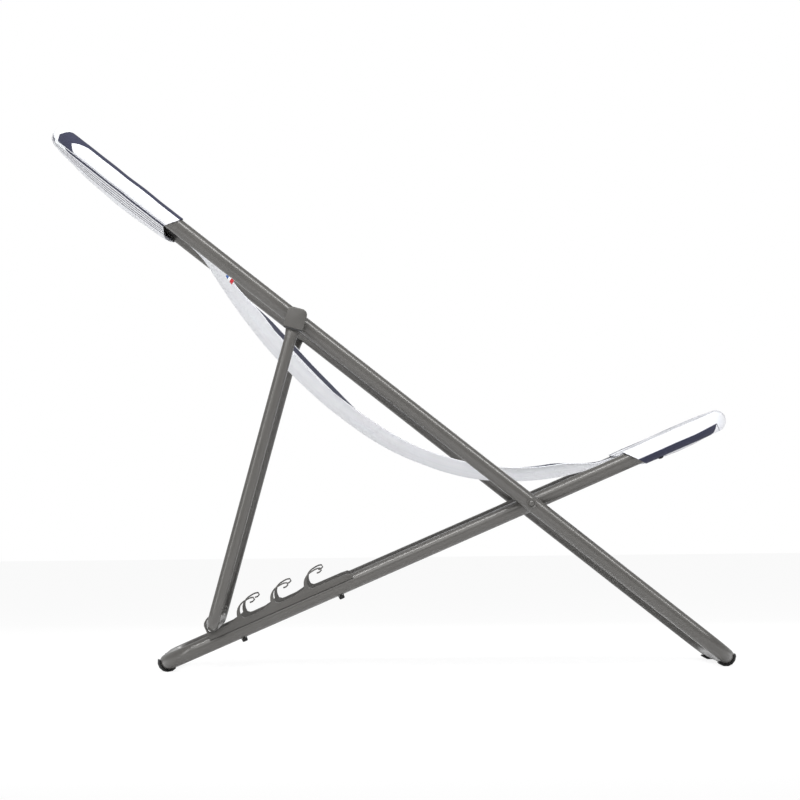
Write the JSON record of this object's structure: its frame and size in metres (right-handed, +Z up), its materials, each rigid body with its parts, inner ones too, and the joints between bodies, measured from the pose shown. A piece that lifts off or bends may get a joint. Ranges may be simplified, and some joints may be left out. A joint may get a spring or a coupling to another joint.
{
  "type": "folding sling lounger",
  "caption": "Folding sun lounger: crossed tube frames, a prop bar that drops into notched racks, and a striped cloth sling hung between two end pockets.",
  "frame": {"origin": "on the ground, under the middle of the chair's box as it stands at its lowest recline", "axes": "+X towards the foot end in front, +Y to the sitter's left, +Z up"},
  "size_m": [1.0854, 0.6428, 0.8735],
  "materials": {
    "frame_paint": "satin grey-taupe powder coat",
    "rivet_paint": "satin grey-taupe",
    "moulded_plastic": "fine-grained moulded, semi-matte",
    "spacer_plastic": "plain black",
    "pivot_steel": "zinc-plated",
    "screw_black": "black oxide",
    "pad_rubber": "matte black",
    "sling_cloth": "woven, white with navy lengthwise stripes",
    "woven_tag": "woven ribbon"
  },
  "bodies": {
    "back_frame": {"back_foot_hoop": "frame_paint", "back_head_hoop": "frame_paint", "back_sleeve_left": "pivot_steel", "main_pivot_rivet_left": "rivet_paint", "main_pivot_washer_left": "pivot_steel", "main_pivot_spacer_left": "spacer_plastic", "prop_pivot_rivet_left": "pivot_steel", "foot_pad_front_left": "pad_rubber", "back_sleeve_right": "pivot_steel", "main_pivot_rivet_right": "rivet_paint", "main_pivot_washer_right": "pivot_steel", "main_pivot_spacer_right": "spacer_plastic", "prop_pivot_rivet_right": "pivot_steel", "foot_pad_front_right": "pad_rubber", "head_pocket": "sling_cloth", "sling": "sling_cloth", "side_tag": "woven_tag"},
    "seat_frame": {"seat_rear_hoop": "frame_paint", "seat_front_hoop": "frame_paint", "front_pocket": "sling_cloth", "seat_sleeve_left": "pivot_steel", "notch_rack_left": "moulded_plastic", "rack_screw_rear_left": "screw_black", "rack_screw_front_left": "screw_black", "foot_pad_rear_left": "pad_rubber", "pocket_stud_left": "screw_black", "seat_sleeve_right": "pivot_steel", "notch_rack_right": "moulded_plastic", "rack_screw_rear_right": "screw_black", "rack_screw_front_right": "screw_black", "foot_pad_rear_right": "pad_rubber", "pocket_stud_right": "screw_black"},
    "prop": {"prop_hoop": "frame_paint", "prop_cap_left": "moulded_plastic", "prop_pivot_washer_left": "spacer_plastic", "prop_cap_right": "moulded_plastic", "prop_pivot_washer_right": "spacer_plastic"}
  },
  "joints": [
    {"name": "fold", "type": "hinge", "parent": "back_frame", "child": "seat_frame", "pos_m": [0.21932, 0, 0.26101], "axis": [0, 1, 0], "range_deg": [0, 55.7], "deforming": ["sling", "side_tag"]},
    {"name": "prop_swing", "type": "hinge", "parent": "back_frame", "child": "prop", "pos_m": [-0.14808, 0, 0.55493], "axis": [0, 1, 0], "range_deg": [0, 106.9]}
  ],
  "couplings": [
    {"joint": "prop_swing", "follows": "fold", "ratio": 1.9192}
  ]
}
